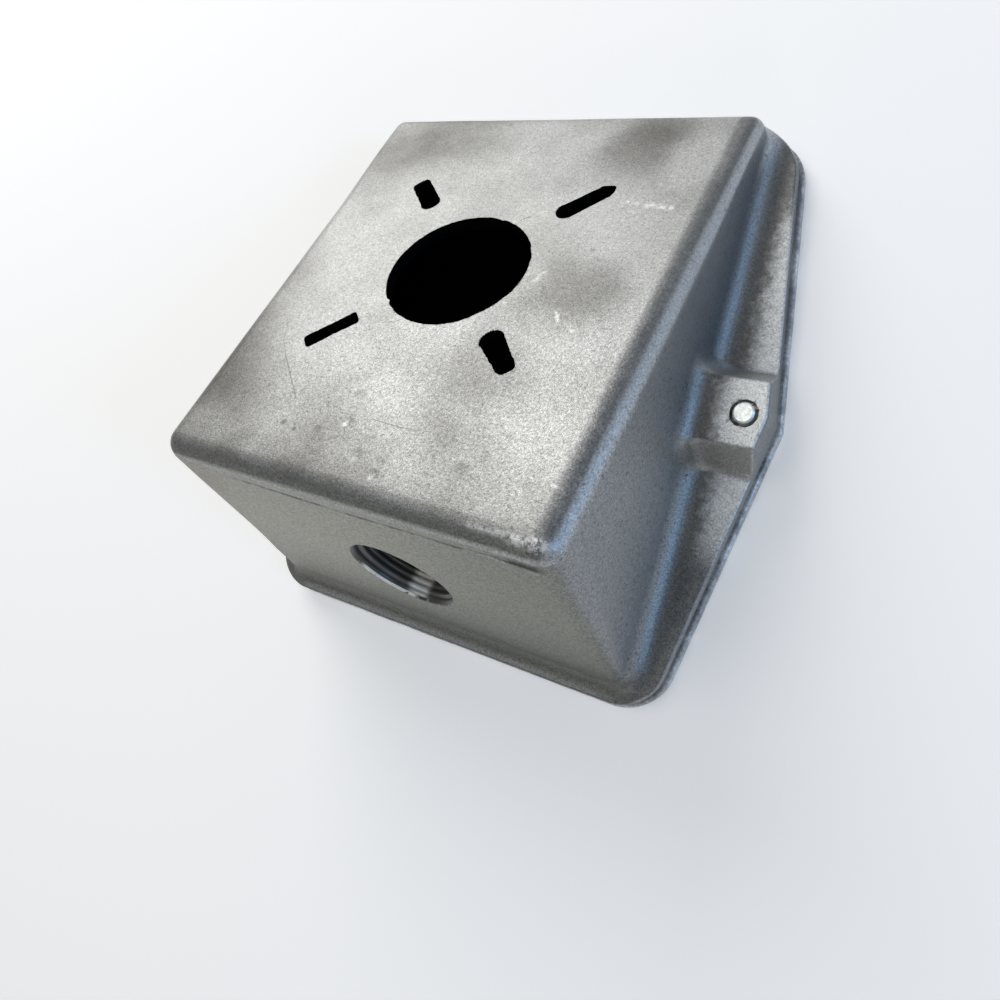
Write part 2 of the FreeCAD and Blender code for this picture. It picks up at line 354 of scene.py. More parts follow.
def faceTone(nodes, wandering):
    cloud = nodes.remap(nodes.grain(*faceLook["cloudGrain"]), *faceLook["cloud"])
    # Painted reflections, darker and lighter in patches at fixed places
    for x, along, radius, depth in faceLook["paintedReflections"]:
        patch = nodes.spot(onFace(x, along), radius, faceLook["patchCore"], wandering)
        cloud = nodes.number("ADD", cloud, nodes.times(patch, depth))
    alongFace = nodes.measure(body["nearEdge"], downFace, wandering)
    # Painted shade towards the near edge
    cloud = nodes.number("ADD", cloud, nodes.remapMm(alongFace, *faceLook["nearPaintedShade"]))
    cloud = nodes.number("MAXIMUM", nodes.number("MINIMUM", cloud, 1.0), 0.0)
    return nodes.mix(cloud, faceLook["light"], faceLook["dark"])


# Walls, with painted shade: the side is darker than the face and darkens towards the far end, and the near
# wall darkens downwards and to the right
wallLook = {
    "side": (0.33, 0.315, 0.295, 1),
    "sideFarShade": (0.13, 0.135, 0.14, 1),
    "sideFade": (-28, 22),
    "near": (0.35, 0.345, 0.28, 1),
    "nearLowShade": (0.175, 0.175, 0.148, 1),
    "nearHeight": (4, 42),
    "nearRight": (-15, 60, 0.0, 0.6),
    "bossFront": (0.45, 0.43, 0.39, 1),
    "bossFade": (55, 58),
    "stain": (0.30, 0.25, 0.20, 1),
    "stainPlace": (-46, 9),
    "stainSpot": (13, 0.2),
    "stainShare": 0.5,
}


def sideTone(nodes, wandering):
    deep = nodes.split(wandering)[1]
    # Painted shade, darker towards the far end
    return nodes.mix(nodes.remapMm(deep, *wallLook["sideFade"]), wallLook["side"], wallLook["sideFarShade"])


def nearTone(nodes, wandering):
    wide, deep, high = nodes.split(wandering)
    # Painted shade, darker downwards and to the right
    tone = nodes.mix(nodes.remapMm(high, *wallLook["nearHeight"]), wallLook["nearLowShade"], wallLook["near"])
    tone = nodes.mix(nodes.remapMm(wide, *wallLook["nearRight"]), tone, wallLook["nearLowShade"])
    tone = nodes.mix(nodes.remapMm(nodes.size(wide), *wallLook["bossFade"]), tone, wallLook["bossFront"])
    stained = nodes.spot(onNearWall(*wallLook["stainPlace"]), *wallLook["stainSpot"], wandering)
    return nodes.mix(nodes.times(stained, wallLook["stainShare"]), tone, wallLook["stain"])


# Flange and boss tops: painted shade near the walls, lighter outside a mottled line, and painted shade that
# makes both ends duller and the corners darkest
flangeLook = {
    "outer": (0.82, 0.82, 0.80, 1),
    "inner": (0.22, 0.207, 0.187, 1),
    "end": (0.40, 0.40, 0.38, 1),
    "corner": (0.17, 0.17, 0.16, 1),
    "mottle": (7 * mm, 420.0, 4.0, 0.7),
    "outerFade": (59.6, 64.6),
    "middle": 12,
    "endFade": (35, 49, 0.0, 0.9),
    "cornerFade": (44, 56),
    "facingUp": (0.60, 0.97),
    "low": (20, 24, 1.0, 0.0),
    "belowFace": (-3.0, -1.5, 1.0, 0.0),
}


def flangeTone(nodes, wandering):
    wide, deep, high = nodes.split(wandering)
    wide = nodes.size(wide)
    # Painted shade on the inner part near the walls, lighter outside a mottled line
    uneven = nodes.number("ADD", wide, nodes.centredGrain(*flangeLook["mottle"]))
    outer = nodes.remapMm(uneven, *flangeLook["outerFade"])
    tone = nodes.mix(outer, flangeLook["inner"], flangeLook["outer"])
    # Painted shade at both ends, darkest in the corners
    fromMiddle = nodes.size(nodes.number("SUBTRACT", deep, flangeLook["middle"] * mm))
    corner = nodes.remapMm(wide, *flangeLook["cornerFade"])
    endShade = nodes.mix(corner, flangeLook["end"], flangeLook["corner"])
    return nodes.mix(nodes.remapMm(fromMiddle, *flangeLook["endFade"]), tone, endShade)


def onFlange(nodes, wandering):
    # 1 on low places that look up, which keeps the far end of the slanted face out
    level = nodes.remap(nodes.facing((0, 0, 1)), *flangeLook["facingUp"])
    low = nodes.remapMm(nodes.split(wandering)[2], *flangeLook["low"])
    below = nodes.remapMm(nodes.measure(body["nearEdge"], outOfFace), *flangeLook["belowFace"])
    return nodes.times(level, low, below)


# Painted reflections on the edges: a dark band before the face turns over its right and near edge, and a
# light one on the turn
edgeReflectionLook = {
    "dark": (0.12, 0.125, 0.13, 1),
    "light": (0.50, 0.50, 0.49, 1),
    "lightShare": 0.8,
    "upper": (-11, -7),
    "onRight": (-10, 10),
    "sideRise": (0.6, 2.2),
    "sideFall": (4.6, 6.6, 1.0, 0.0),
    "sideDarkFacing": (0.35, 0.7),
    "sideShare": 0.80,
    "nearFall": (1.2, 5.2, 1.0, 0.0),
    "nearDarkFacing": (0.25, 0.55),
    "nearShare": (22, 46, 0.57, 0.30),
    "sideTurn": ((0.70, 0.88, 1.0, 0.0), (0.10, 0.45)),
    "sideTurnFacing": (0.30, 0.60),
    "nearTurn": ((0.28, 0.50, 1.0, 0.0), (0.02, 0.20)),
    "nearTurnFacing": (0.4, 0.7),
    "reflectionBreakupGrain": (260.0, 4.0, 0.7),
    "reflectionBreakup": (0.25, 0.60, 0.7, 1.0),
}


def paintEdgeReflections(nodes, color, sideways, towardsNear, outward):
    wide, deep, high = nodes.split(nodes.places)
    onRight = nodes.remapMm(wide, *edgeReflectionLook["onRight"])
    upper = nodes.remapMm(nodes.measure(body["nearEdge"], outOfFace), *edgeReflectionLook["upper"])
    widest = (body["sideFoot"] + body["footHeight"] * body["draft"]) * mm
    halfWidth = nodes.number("SUBTRACT", widest, nodes.times(high, body["draft"]))
    sideGap = nodes.number("SUBTRACT", halfWidth, nodes.size(wide))
    sideDark = nodes.times(
        nodes.remapMm(sideGap, *edgeReflectionLook["sideRise"]),
        nodes.remapMm(sideGap, *edgeReflectionLook["sideFall"]),
        nodes.remap(outward, *edgeReflectionLook["sideDarkFacing"]),
        onRight,
        edgeReflectionLook["sideShare"],
    )
    nearDark = nodes.times(
        nodes.remapMm(nodes.measure(body["nearEdge"], downFace), *edgeReflectionLook["nearFall"]),
        nodes.remap(outward, *edgeReflectionLook["nearDarkFacing"]),
        nodes.remapMm(wide, *edgeReflectionLook["nearShare"]),
    )
    sideTurn = nodes.times(
        *(nodes.remap(outward, *span) for span in edgeReflectionLook["sideTurn"]),
        nodes.remap(sideways, *edgeReflectionLook["sideTurnFacing"]),
        onRight,
    )
    nearTurn = nodes.times(
        *(nodes.remap(outward, *span) for span in edgeReflectionLook["nearTurn"]),
        nodes.remap(towardsNear, *edgeReflectionLook["nearTurnFacing"]),
    )
    reflectionBreakup = nodes.remap(nodes.grain(*edgeReflectionLook["reflectionBreakupGrain"]), *edgeReflectionLook["reflectionBreakup"])
    # The dark band and the light band on the turn are painted reflections; a grain breaks up the dark one
    darkReflection = nodes.times(nodes.number("MAXIMUM", sideDark, nearDark), upper, reflectionBreakup)
    lightReflection = nodes.times(nodes.number("MAXIMUM", sideTurn, nearTurn), upper, edgeReflectionLook["lightShare"])
    return nodes.mix(lightReflection, nodes.mix(darkReflection, color, edgeReflectionLook["dark"]), edgeReflectionLook["light"])


# Marks on the face and the grime in the seam. A spot reads: across, along, radius, depth. A stroke reads:
# from, to (across, along, lift), half width, depth.
markLook = {
    "dark": (0.10, 0.098, 0.09, 1),
    "darkCore": 0.2,
    "darkSpots": [
        (27.9, 12.9, 2.6, 0.50), (-20.9, 13.8, 1.2, 0.7), (-16.7, 12.8, 0.8, 0.8), (-10.8, 14.1, 1.4, 0.5),
        (30.3, 74.3, 1.0, 0.5), (-13.1, 119.0, 1.0, 0.5), (-5.9, 25.4, 1.9, 0.30), (2.4, 11.6, 1.4, 0.25),
        (31.5, 17.0, 1.2, 0.3),
    ],
    "scratches": [
        ((-39.7, 41.6), (-37.2, 36.0), 0.25, 0.45), ((-37.2, 36.0), (-33.0, 31.4), 0.25, 0.5),
        ((-33.0, 31.4), (-21.8, 20.6), 0.28, 0.6), ((1.3, 19.6), (9.5, 19.1), 0.25, 0.7),
        ((9.5, 19.1), (17.1, 19.7), 0.22, 0.5), ((49.0, 11.6), (53.8, 9.7), 0.3, 0.6),
        ((44.5, 10.6), (51.0, 9.9), 0.22, 0.5), ((35.8, 39.4), (36.4, 43.1), 0.22, 0.5),
        ((-3.0, 14.5), (-5.2, 17.6), 0.3, 0.5),
    ],
    "ring": {"place": (-0.4, 108.7), "radius": 1.35, "halfWidth": 0.3, "depth": 0.35},
    "pale": (0.86, 0.86, 0.84, 1),
    "paleCore": 0.1,
    "paleSpots": [
        # The first three spots paint a highlight and nicks at the right corner of the near edge
        (48.6, 2.6, 2.2, 0.8), (50.6, 2.8, 2.4, 0.9), (52.0, 3.6, 1.8, 0.6), (-5.9, 23.2, 0.9, 0.4),
        (-4.6, 17.0, 1.2, 0.7), (3.0, 9.2, 1.2, 0.6), (9.4, 6.4, 1.3, 0.6), (-37.5, 68.9, 1.3, 0.5),
    ],
    "nicks": [
        ((32.0, 90.4), (35.0, 90.0), 1.0, 0.6), ((37.5, 89.6), (43.2, 89.0), 1.6, 0.85),
        ((20.4, 63.2), (21.4, 66.0), 1.0, 0.5), ((29.6, 55.4), (31.0, 53.0), 0.9, 0.8),
        ((33.2, 52.8), (35.6, 50.6), 0.9, 0.75), ((12.0, 57.5), (16.5, 55.9), 0.7, 0.4),
        # These two strokes, on the near edge's rounding, are a painted highlight
        ((35.0, 2.6, -0.5), (46.0, 2.4, -0.6), 1.2, 0.6), ((44.0, 2.4, -0.7), (50.6, 2.4, -1.0), 2.2, 1.0),
        ((46.8, 14.6), (49.8, 13.8), 0.6, 0.5),
    ],
    "fleckGrain": (900.0, 4.0, 0.8),
    "fleck": (0.40, 0.62),
    "facingOut": (0.6, 0.9),
    "grime": (0.055, 0.053, 0.048, 1),
    "grimeGrain": (230.0, 4.0, 0.7),
    "grimeShare": (0.40, 0.58, 0.25, 1.0),
    "grimeHalf": 0.95,
    "slitFrom": 44,
    "slitShare": 0.9,
    "slitHalf": 2.4,
}


def marksOnFace(nodes, spots, core, strokes):
    marks = []
    for x, along, radius, depth in spots:
        marks.append((nodes.spot(onFace(x, along), radius, core), depth))
    for first, last, halfWidth, depth in strokes:
        marks.append((nodes.stroke(onFace(*first), onFace(*last), halfWidth), depth))
    return marks


def ringMark(nodes):
    ring = markLook["ring"]
    away = nodes.vector("DISTANCE", nodes.places, onFace(*ring["place"]))
    fromRing = nodes.size(nodes.number("SUBTRACT", away, ring["radius"] * mm))
    return nodes.remapMm(fromRing, 0.0, ring["halfWidth"], 1.0, 0.0), ring["depth"]


def drawSeam(nodes, color):
    broken = nodes.remap(nodes.grain(*markLook["grimeGrain"]), *markLook["grimeShare"])
    for first, last in zip(seam["line"], seam["line"][1:]):
        inSlit = last[0] >= markLook["slitFrom"]
        half = markLook["slitHalf"] if inSlit else markLook["grimeHalf"]
        line = nodes.stroke(onNearWall(*first), onNearWall(*last), half)
        share = nodes.times(line, markLook["slitShare"] if inSlit else broken)
        color = nodes.mix(share, color, markLook["grime"])
    return color


def drawMarks(nodes, color, outward):
    onTop = nodes.remap(outward, *markLook["facingOut"])
    dark = marksOnFace(nodes, markLook["darkSpots"], markLook["darkCore"], markLook["scratches"])
    for mark, depth in [*dark, ringMark(nodes)]:
        color = nodes.mix(nodes.times(mark, depth, onTop), color, markLook["dark"])
    flecks = nodes.remap(nodes.grain(*markLook["fleckGrain"]), *markLook["fleck"])
    for mark, depth in marksOnFace(nodes, markLook["paleSpots"], markLook["paleCore"], markLook["nicks"]):
        color = nodes.mix(nodes.times(mark, flecks, depth), color, markLook["pale"])
    return color


def speckle(nodes, wandering):
    # Brightness of the cast grain, strongest near the near edge
    fine = nodes.centredGrain(*castLook["fineSpeckle"])
    coarse = nodes.centredGrain(*castLook["coarseSpeckle"])
    alongFace = nodes.measure(body["nearEdge"], downFace, wandering)
    sparkle = nodes.remapMm(alongFace, *castLook["sparkle"])
    return nodes.number("ADD", nodes.times(nodes.number("ADD", fine, coarse), sparkle), 1.0)


def castAluminium():
    nodes = Nodes("castAluminium")
    wandering = nodes.wandering(*castLook["wander"])
    outward = nodes.facing(outOfFace)
    sideways = nodes.size(nodes.facing(across))
    towardsNear = nodes.facing(-downFace)
    color = nodes.mix(onFlange(nodes, wandering), faceTone(nodes, wandering), flangeTone(nodes, wandering))
    color = nodes.mix(nodes.remap(sideways, *castLook["sideFacing"]), color, sideTone(nodes, wandering))
    color = nodes.mix(nodes.remap(towardsNear, *castLook["nearFacing"]), color, nearTone(nodes, wandering))
    # Painted reflections along the face's right and near edges
    color = paintEdgeReflections(nodes, color, sideways, towardsNear, outward)
    pits = nodes.remap(nodes.grain(*castLook["pitGrain"]), *castLook["pitFade"])
    pits = nodes.times(pits, nodes.remap(sideways, *castLook["pitShare"]))
    color = nodes.shade(nodes.mix(pits, color, castLook["pit"]), speckle(nodes, wandering))
    color = drawMarks(nodes, drawSeam(nodes, color), outward)
    roughness = nodes.remap(nodes.grain(*castLook["roughnessGrain"]), *castLook["roughness"])
    normal = None
    for grain, strength, distance in (castLook["fineBump"], castLook["middleBump"]):
        normal = nodes.bump(nodes.grain(*grain), strength, distance, normal)
    return nodes.surface(color, roughness, normal, castLook["metallic"])


# Plain finishes: two tones mixed by a grain, and a bump of another grain
plainLooks = {
    "coverAluminium": {
        "tones": ((0.74, 0.74, 0.73, 1), (0.34, 0.34, 0.34, 1)),
        "toneGrain": (90.0, 4.0, 0.6),
        "toneFade": (0.35, 0.65),
        "fleckGrain": (1100.0, 3.0, 0.6),
        "fleck": (0.3, 0.7, 0.65, 1.2),
        "roughnessGrain": (500.0, 3.0, 0.6),
        "roughness": (0.3, 0.7, 0.36, 0.52),
        "bumpGrain": (1500.0, 3.0, 0.6),
        "bump": (0.4, 0.00008),
        "metallic": 0.4,
    },
    "zincPlate": {
        "tones": ((0.97, 0.98, 0.93, 1), (0.86, 0.90, 0.87, 1)),
        "toneGrain": (700.0, 3.0),
        "toneFade": (0.4, 0.65),
        "roughnessGrain": (1500.0, 2.0),
        "roughness": (0.3, 0.7, 0.22, 0.38),
        "bumpGrain": (3000.0, 2.0),
        "bump": (0.2, 0.00004),
        "metallic": 0.45,
    },
    "blackRubber": {
        "tones": ((0.018, 0.018, 0.018, 1), (0.04, 0.04, 0.038, 1)),
        "toneGrain": (800.0, 2.0),
        "roughness": 0.75,
        "bumpGrain": (2600.0, 2.0),
        "bump": (0.3, 0.00005),
        "metallic": 0.0,
    },
    "shadedInside": {  # the rough inner skin, painted near black as shade, since hardly any light reaches it
        "tones": ((0.002, 0.002, 0.002, 1), (0.004, 0.004, 0.004, 1)),
        "toneGrain": (300.0, 3.0),
        "roughness": 0.9,
        "bumpGrain": (1500.0, 3.0),
        "bump": (0.4, 0.0001),
        "metallic": 0.0,
        "specular": 0.0,
    },
}


def plainFinish(name):
    look = plainLooks[name]
    nodes = Nodes(name)
    share = nodes.grain(*look["toneGrain"])
    if "toneFade" in look:
        share = nodes.remap(share, *look["toneFade"])
    color = nodes.mix(share, *look["tones"])
    if "fleck" in look:
        color = nodes.shade(color, nodes.remap(nodes.grain(*look["fleckGrain"]), *look["fleck"]))
    roughness = look["roughness"]
    if "roughnessGrain" in look:
        roughness = nodes.remap(nodes.grain(*look["roughnessGrain"]), *roughness)
    normal = nodes.bump(nodes.grain(*look["bumpGrain"]), *look["bump"])
    return nodes.surface(color, roughness, normal, look["metallic"], look.get("specular", 0.5))


# Conduit entry: its mouth on the near wall, and the hub that its bore runs through
entry = {
    "mouth": Vector((2.0, -54.845, 35.138)) * mm,
    "bore": 13.3,
    "hub": 15.5,
    "lip": 1.7,
}

# Turned metal with painted shade in the thread's roots and deeper in the bore, a painted highlight in a
# stripe and at one side of the mouth, and the rest of the mouth painted dark as shade
threadLook = {
    "highlightTone": ((0.95, 0.95, 0.92, 1), (0.80, 0.80, 0.77, 1)),
    "bareGrain": (900.0, 3.0),
    "dull": (0.13, 0.13, 0.12, 1),
    "grime": (0.04, 0.04, 0.037, 1),
    "mouth": (0.06, 0.06, 0.055, 1),
    "crest": (13.2, 12.7, 0.45, 1.0),
    "deeper": (12, 6, 0.3, 1.0),
    "stripeShift": 1.9,
    "stripe": (1.6, 3.8, 1.0, 0.0),
    "lower": (2, -4),
    "mouthHighlightAside": (-1, -3.5),
    "mouthHighlightBelow": (-0.5, -4),
    "mouthFrom": (13.4, 13.5),
    "bumpGrain": (2500.0, 2.0),
    "bump": (0.2, 0.00005),
    "roughness": 0.34,
    "metallic": 0.2,
}


def cutThread():
    nodes = Nodes("cutThread")
    fromMouth = nodes.vector("SUBTRACT", nodes.places, tuple(entry["mouth"]))
    depth = nodes.vector("DOT_PRODUCT", fromMouth, tuple(downFace))
    aside = nodes.vector("DOT_PRODUCT", fromMouth, tuple(across))
    above = nodes.vector("DOT_PRODUCT", fromMouth, tuple(outOfFace))
    radius = nodes.vector("DISTANCE", fromMouth, nodes.vector("SCALE", tuple(downFace), scale=depth))
    # Painted shade in the thread's roots and deeper in the bore
    crest = nodes.times(
        nodes.remapMm(radius, *threadLook["crest"]), nodes.remapMm(depth, *threadLook["deeper"])
    )
    # Painted highlight in a stripe on the lower wall
    fromStripe = nodes.size(nodes.number("ADD", aside, threadLook["stripeShift"] * mm))
    paintedStripeHighlight = nodes.times(
        nodes.remapMm(fromStripe, *threadLook["stripe"]), nodes.remapMm(above, *threadLook["lower"])
    )
    highlightTone = nodes.mix(nodes.grain(*threadLook["bareGrain"]), *threadLook["highlightTone"])
    color = nodes.mix(crest, threadLook["grime"], nodes.mix(paintedStripeHighlight, threadLook["dull"], highlightTone))
    # Painted highlight at one side of the mouth; the rest of the mouth is painted dark as shade
    paintedMouthHighlight = nodes.times(
        nodes.remapMm(aside, *threadLook["mouthHighlightAside"]), nodes.remapMm(above, *threadLook["mouthHighlightBelow"])
    )
    mouthTone = nodes.mix(paintedMouthHighlight, threadLook["mouth"], highlightTone)
    color = nodes.mix(nodes.remapMm(radius, *threadLook["mouthFrom"]), color, mouthTone)
    normal = nodes.bump(nodes.grain(*threadLook["bumpGrain"]), *threadLook["bump"])
    return nodes.surface(color, threadLook["roughness"], normal, threadLook["metallic"])


# Meshes that are cut finer or copied
cutting = {"mergeWithin": 0.002, "onPlane": 1e-6}


def mergedCopy(nodeName):
    mesh = bmesh.new()
    mesh.from_mesh(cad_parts[nodeName].data)
    bmesh.ops.remove_doubles(mesh, verts=mesh.verts[:], dist=cutting["mergeWithin"] * mm)
    return mesh


def cutPlaces(verts, direction, step):
    # Where parallel cuts, a step in mm apart, cross the vertices that are given
    reach = [vertex.co.dot(direction) for vertex in verts]
    low = min(reach)
    count = int((max(reach) - low) / (step * mm))
    return [direction * (low + index * step * mm) for index in range(1, count + 1)]


def layCut(mesh, geometry, place, direction):
    cut = bmesh.ops.bisect_plane(
        mesh, geom=geometry, dist=cutting["onPlane"], plane_co=place, plane_no=direction
    )
    return cut["geom"]


def cutAlong(mesh, direction, step):
    # Cuts through the whole mesh, so that its flat stretches can take a shape
    for place in cutPlaces(mesh.verts, direction, step):
        layCut(mesh, mesh.verts[:] + mesh.edges[:] + mesh.faces[:], place, direction)


def refine(mesh, isNear, directions, step):
    # Closer cuts through the faces that carry detail
    faces = [face for face in mesh.faces if isNear(face.calc_center_median())]
    edges = dict.fromkeys(edge for face in faces for edge in face.edges)
    verts = dict.fromkeys(vertex for face in faces for vertex in face.verts)
    geometry = [*faces, *edges, *verts]
    for direction in directions:
        for place in cutPlaces(verts, direction, step):
            geometry = layCut(mesh, geometry, place, direction)


def finish(mesh, name, materials, smoothBelow):
    bmesh.ops.triangulate(mesh, faces=[face for face in mesh.faces if len(face.verts) > 4])
    data = bpy.data.meshes.new(name)
    mesh.to_mesh(data)
    mesh.free()
    for material in materials:
        data.materials.append(material)
    data.shade_smooth()
    data.set_sharp_from_angle(angle=smoothBelow)
    piece = bpy.data.objects.new(name, data)
    bpy.context.scene.collection.objects.link(piece)
    return piece


def clamped(share):
    return min(1.0, max(0.0, share))


def fade(gap, reach):
    # 1 on and inside an edge, easing to 0 at the reach outside it
    share = clamped(gap / reach)
    return 1 - share * share * (3 - 2 * share)


def faceSpot(point):
    # A point's place on the slanted face in mm: across, along and height above it
    gap = (point - body["nearEdge"]) / mm
    return gap.dot(across), gap.dot(downFace), gap.dot(outOfFace)


def entrySpot(point):
    # A point's depth in the conduit entry and its distance from the entry's axis, in mm
    gap = (point - entry["mouth"]) / mm
    depth = gap.dot(downFace)
    return depth, (gap - downFace * depth).length


def wallGaps(point):
    # How far inside the side walls and the far wall a point lies, in mm
    lean = (point.z / mm - body["footHeight"]) * body["draft"]
    return body["sideFoot"] - lean - abs(point.x / mm), body["farFoot"] - lean - point.y / mm


# The upper edges of the body are worn rounder than the cut model draws them, from a height upwards
rounding = {
    "radius": 5.0,
    "from": 21.0,
    "full": 31.0,
    "slack": 0.02,
    "outside": -0.3,
    "bandInner": 0.5,
    "bandOuter": 2.4,
    "step": 0.9,
}


def edgeGaps(point):
    # Distances of a point from the side wall, the face and the near wall, counted inwards in mm
    x, along, lift = faceSpot(point)
    return Vector((wallGaps(point)[0], -lift, along))


def roundingShift(point):
    strength = clamped((point.z / mm - rounding["from"]) / (rounding["full"] - rounding["from"]))
    radius = rounding["radius"]
    gaps = edgeGaps(point)
    reach = Vector([max(0.0, radius - gap) for gap in gaps])
    if strength == 0 or reach.length <= radius + rounding["slack"] or min(gaps) < rounding["outside"]:
        return Vector((0, 0, 0))
    inward = reach * (1 - radius / reach.length) * strength
    side = 1 if point.x > 0 else -1
    return (across * -side * inward[0] - outOfFace * inward[1] + downFace * inward[2]) * mm


def isNearEdge(point, first, second):
    # Whether a point lies where two of the body's upper faces meet
    gaps = edgeGaps(point)
    outer = min(gaps[first], gaps[second]) < rounding["bandOuter"]
    inner = max(gaps[first], gaps[second]) < rounding["radius"] + rounding["bandInner"]
    return point.z > rounding["from"] * mm and outer and inner


# Casting: its skin waves and ripples slightly and has small dents
shell = {
    "gridStep": 2.5,
    "wave": 0.10,
    "waveLength": 22.0,
    "ripple": 0.025,
    "rippleLength": 5.0,
    "flatAngle": math.radians(34),
    "dents": [  # across, along, radius, depth
        (-36.5, 70.0, 2.2, 0.13), (-5.7, 24.8, 2.1, 0.17), (-4.3, 18.0, 1.8, 0.19), (3.0, 10.4, 2.0, 0.22),
        (9.6, 10.0, 1.4, 0.15), (9.4, 7.2, 1.7, 0.20), (27.9, 12.9, 2.6, 0.10), (-20.9, 13.8, 1.5, 0.10),
        (-10.8, 14.1, 1.6, 0.12), (-7.2, 29.5, 1.8, 0.10), (-12.5, 20.5, 1.8, 0.09), (37.8, 96.1, 1.3, 0.08),
    ],
    "dentSkin": -0.6,
    "dentMargin": 0.9,
    "dentStep": 0.3,
}


def dentDepth(point):
    x, along, lift = faceSpot(point)
    if lift < shell["dentSkin"]:
        return 0.0
    depth = 0.0
    for dentX, dentAlong, radius, deep in shell["dents"]:
        away = math.hypot(x - dentX, along - dentAlong) / radius
        if away < 1:
            depth += deep * (1 - away**2) ** 2
    return depth


# Parting seam below the near edge, which opens into a slit at its right end
seam = {
    "line": [  # across, below the near edge
        (-31, 6.5), (-22.8, 6.6), (-11.5, 6.9), (6.3, 7.1),
        (20.1, 6.9), (30.2, 7.0), (43.2, 6.2), (48.6, 6.4),
    ],
    "behindWall": -0.9,
    "depth": 0.14,
    "width": 0.5,
    "wander": 0.22,
    "wanderRate": 0.35,
    "wanderSeed": 3.1,
    "patchRate": 0.22,
    "patchSeed": 9.0,
    "patchLeast": 0.35,
    "slitStart": 36.0,
    "slitEase": 6.0,
    "slitDepth": 0.45,
    "slitWider": 1.1,
    "margin": 1.0,
    "step": 0.25,
}
farAway = 99.0  # the gap in mm where the seam or a slot doesn't reach


def seamAt(x):
    # How far below the near edge the seam runs at a place across the wall
    for (x0, below0), (x1, below1) in zip(seam["line"], seam["line"][1:]):
        if x0 <= x <= x1:
            wander = seam["wander"] * noise.noise(Vector((x * seam["wanderRate"], seam["wanderSeed"], 0)))
            return below0 + (below1 - below0) * (x - x0) / (x1 - x0) + wander
    return None


def seamGap(point):
    x, along, lift = faceSpot(point)
    below = seamAt(x)
    if below is None or -along < seam["behindWall"]:
        return farAway
    return -lift - below


def seamDepth(point):
    x = point.x / mm
    gap = seamGap(point)
    inSlit = clamped((x - seam["slitStart"]) / seam["slitEase"])
    width = seam["width"] * (1 + seam["slitWider"] * inSlit)
    if abs(gap) > width:
        return 0.0
    least = seam["patchLeast"]
    patch = noise.noise(Vector((x * seam["patchRate"], seam["patchSeed"], 0)))
    patchy = least + (1 - least) * max(0.0, patch + least)
    return (seam["depth"] * patchy * (1 - inSlit) + seam["slitDepth"] * inSlit) * (1 - (gap / width) ** 2)


# Openings of the face, cast and broken out a little ragged. A nick reads: angle, spread, depth.
openings = {"below": -4.2, "above": 1.0, "step": 0.6}
hole = {
    "x": -1.4,
    "along": 65.6,
    "radius": 17.9,
    "reach": 3.0,
    "cutReach": 2.0,
    "shift": (0.1, -0.75),
    "wider": 0.6,
    "ragged": 0.16,
    "raggedRate": 0.13,
    "raggedSeed": (2.0, 5.0),
    "raggedReach": 1.5,
    "nicks": [(224, 1.8, -0.45), (77, 2.5, -0.25), (318, 14, -0.28)],
}
slotPlan = {
    "away": 33.7,
    "halfLength": 7.2,
    "halfWidth": 2.75,
    "reach": 3.0,
    "growRun": 4,
    "squareGain": 5,
    "rough": 0.16,
    "roughRate": 0.9,
}
# Turn in degrees; at the inner and outer end, mm longer, share of the width and how square; shift in mm
slots = [
    {"turn": 135, "grow": (-0.5, -0.5), "wide": (1.00, 0.90), "square": (0.05, 0.40), "shift": (0.6, 0.6)},
    {"turn": 45, "grow": (0.5, 0.7), "wide": (0.98, 0.84), "square": (0.0, -0.12), "shift": (-0.5, 0.5)},
    {"turn": 225, "grow": (0.1, 0.0), "wide": (0.74, 0.78), "square": (0.75, 0.60), "shift": (0.0, -0.5)},
    {"turn": 315, "grow": (-0.4, -0.3), "wide": (1.12, 0.79), "square": (0.0, 0.28), "shift": (-1.1, 0.6)},
]


def holeGap(point):
    x, along, lift = faceSpot(point)
    return math.hypot(x - hole["x"], along - hole["along"]) - hole["radius"]


def holeShift(x, along, gap):
    # How the rim of the round hole moves to its worn shape, in mm
    angle = math.degrees(math.atan2(along - hole["along"], x - hole["x"])) % 360
    ragged = hole["ragged"] * noise.noise(Vector((angle * hole["raggedRate"], *hole["raggedSeed"])))
    ragged += sum(depth * math.exp(-(((angle - at) / spread) ** 2)) for at, spread, depth in hole["nicks"])
    outward = (across * (x - hole["x"]) + downFace * (along - hole["along"])).normalized()
    moved = across * (hole["shift"][0] + hole["wider"] * outward.dot(across)) + downFace * hole["shift"][1]
    moved += outward * ragged * fade(abs(gap), hole["raggedReach"])
    return moved * fade(abs(gap), hole["reach"])


def slotFrame(slot):
    turn = math.radians(slot["turn"])
    outward = across * math.cos(turn) + downFace * math.sin(turn)
    sideways = downFace * math.cos(turn) - across * math.sin(turn)
    centre = onFace(hole["x"], hole["along"]) + outward * slotPlan["away"] * mm
    return centre, outward, sideways


def slotGap(point, slot):
    # A point's place along and across a slot, and its distance from the slot's edge
    centre, outward, sideways = slotFrame(slot)
    gap = (point - centre) / mm
    u, v = gap.dot(outward), gap.dot(sideways)
    if gap.dot(outOfFace) < openings["below"]:
        return u, v, farAway
    past = max(abs(u) - slotPlan["halfLength"] + slotPlan["halfWidth"], 0.0)
    return u, v, math.hypot(past, v) - slotPlan["halfWidth"]


def squarer(past, v, square):
    # How much further out a round slot end lies when it is made squarer, as a share
    if past <= 0:
        return 0.0
    run = math.hypot(past, v)
    power = 2 + square * slotPlan["squareGain"]
    return ((past / run) ** power + (abs(v) / run) ** power) ** (-1 / power) - 1


